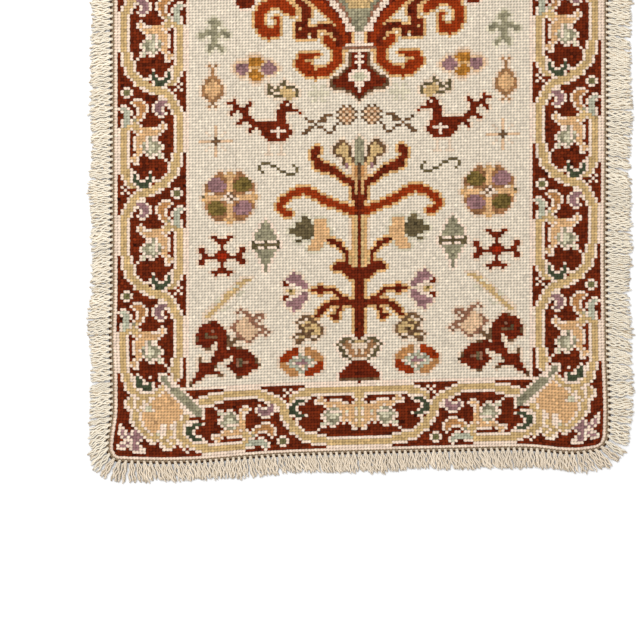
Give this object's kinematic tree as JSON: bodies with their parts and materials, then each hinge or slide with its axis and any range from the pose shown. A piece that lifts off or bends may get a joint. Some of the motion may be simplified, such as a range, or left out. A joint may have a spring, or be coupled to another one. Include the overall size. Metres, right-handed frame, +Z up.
{
  "type": "needlepoint rug",
  "caption": "Long needlepoint floor rug with a pale field of small motifs, a dark scrolling border and a knotted fringe along its sides.",
  "frame": {"origin": "centre of the rug's outline, on the floor under it", "axes": "+Z up from the floor, +Y along the rug from the near end to the far end, +X to the right as seen from the near end"},
  "size_m": [0.8742, 1.822, 0.005],
  "materials": {
    "stitched_wool": "matte",
    "fringe_cotton": "matte"
  },
  "bodies": {
    "root": {"needlework": "stitched_wool", "fringe_near": "fringe_cotton", "fringe_right": "fringe_cotton", "fringe_far": "fringe_cotton", "fringe_left": "fringe_cotton"}
  },
  "joints": []
}
